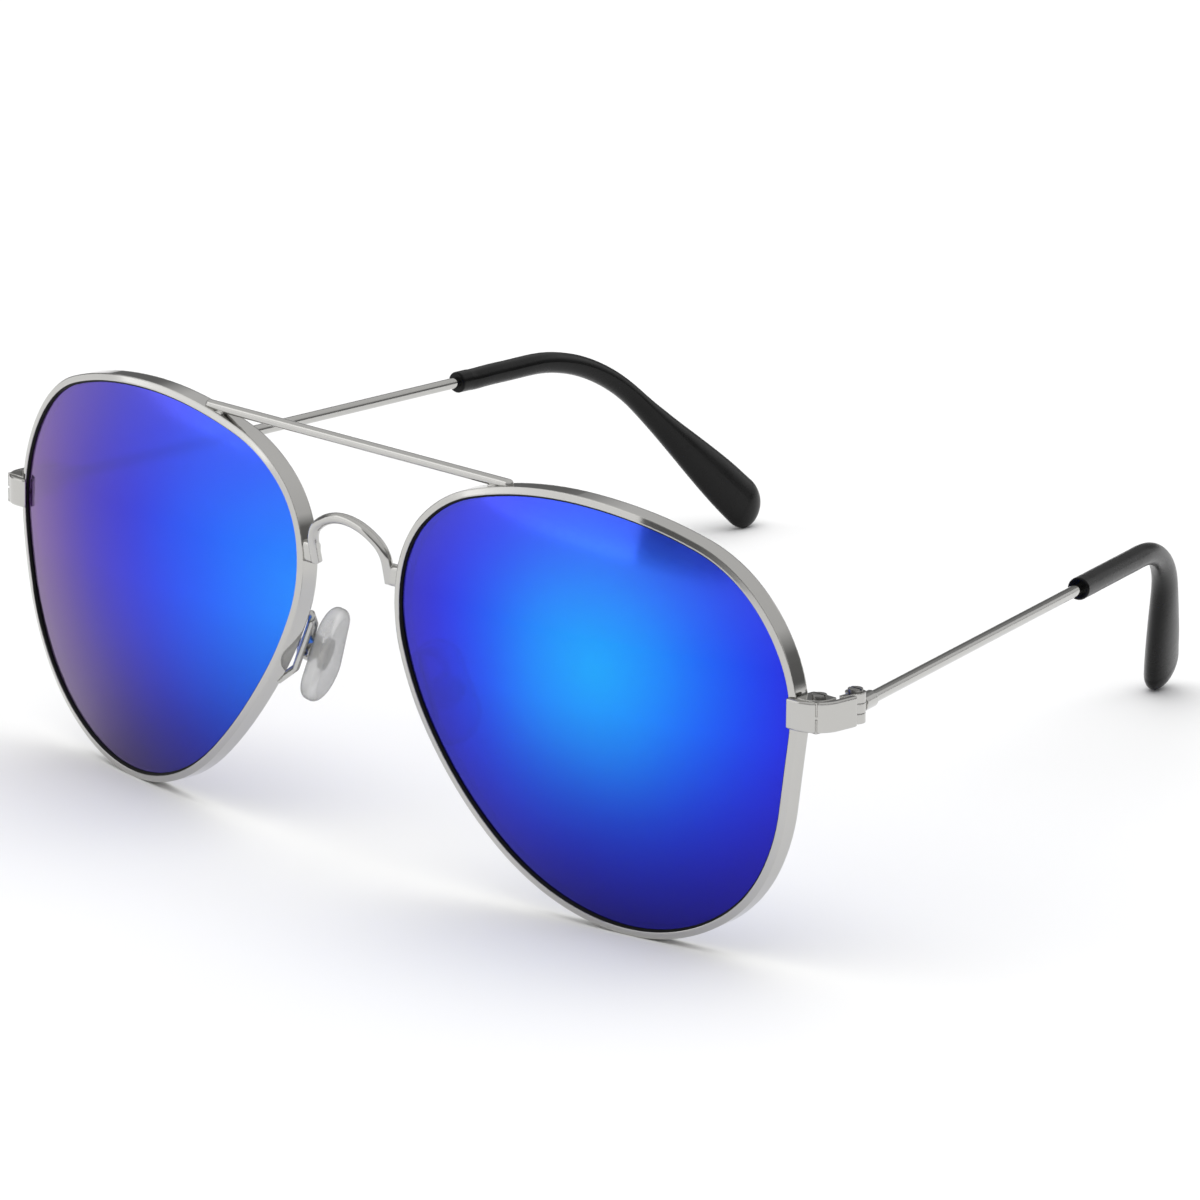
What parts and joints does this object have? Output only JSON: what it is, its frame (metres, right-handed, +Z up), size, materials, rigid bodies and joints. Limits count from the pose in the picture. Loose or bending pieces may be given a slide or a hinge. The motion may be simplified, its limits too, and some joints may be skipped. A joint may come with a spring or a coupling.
{
  "type": "aviator sunglasses",
  "caption": "Metal aviator sunglasses with mirror lenses in grooved rims, brow bar, clear nose pads on wire arms and hinged wire temples with plastic tips.",
  "frame": {"origin": "on the table plane that the rims and temple tips rest on, under the middle of the bridge", "axes": "+Z up, the front of the glasses faces -Y, +X is the wearer's left"},
  "size_m": [0.1494, 0.1444, 0.0494],
  "materials": {
    "silver_metal": "polished",
    "screw_steel": "satin",
    "insert_metal": "satin",
    "clear_silicone": "clear satin",
    "mirror_lens": "blue mirror coating",
    "black_plastic": "satin gloss"
  },
  "bodies": {
    "front": {"bridge": "silver_metal", "brow_bar": "silver_metal", "rim_left": "silver_metal", "rim_right": "silver_metal", "lens_left": "mirror_lens", "lens_right": "mirror_lens", "end_piece_left": "silver_metal", "end_piece_right": "silver_metal", "lock_upper_left": "silver_metal", "lock_upper_right": "silver_metal", "lock_lower_left": "silver_metal", "lock_lower_right": "silver_metal", "lock_screw_left": "screw_steel", "lock_screw_right": "screw_steel", "front_hinge_left": "silver_metal", "front_hinge_right": "silver_metal", "hinge_screw_left": "screw_steel", "hinge_screw_right": "screw_steel", "pad_arm_left": "silver_metal", "pad_arm_right": "silver_metal", "pad_box_left": "silver_metal", "pad_box_right": "silver_metal", "pad_screw_left": "screw_steel", "pad_screw_right": "screw_steel"},
    "temple_left": {"temple_hinge_left": "silver_metal", "temple_left": "silver_metal", "temple_tip_left": "black_plastic"},
    "temple_right": {"temple_hinge_right": "silver_metal", "temple_right": "silver_metal", "temple_tip_right": "black_plastic"},
    "pad_left": {"nose_pad_left": "clear_silicone", "pad_insert_left": "insert_metal"},
    "pad_right": {"nose_pad_right": "clear_silicone", "pad_insert_right": "insert_metal"}
  },
  "joints": [
    {"name": "temple_left_fold", "type": "hinge", "parent": "front", "child": "temple_left", "pos_m": [0.06732, 0.01391, 0.02977], "axis": [0, 0, 1], "range_deg": [-32, 64]},
    {"name": "temple_right_fold", "type": "hinge", "parent": "front", "child": "temple_right", "pos_m": [-0.06732, 0.01391, 0.02977], "axis": [0, 0, -1], "range_deg": [-1.1, 88]},
    {"name": "nose_pad_left_rock", "type": "hinge", "parent": "front", "child": "pad_left", "pos_m": [0.01219, 0.00593, 0.02167], "axis": [0.352, 0.9272, 0.1281], "range_deg": [-8, 8]},
    {"name": "nose_pad_right_rock", "type": "hinge", "parent": "front", "child": "pad_right", "pos_m": [-0.01219, 0.00593, 0.02167], "axis": [-0.352, 0.9272, 0.1281], "range_deg": [-8, 8]}
  ]
}
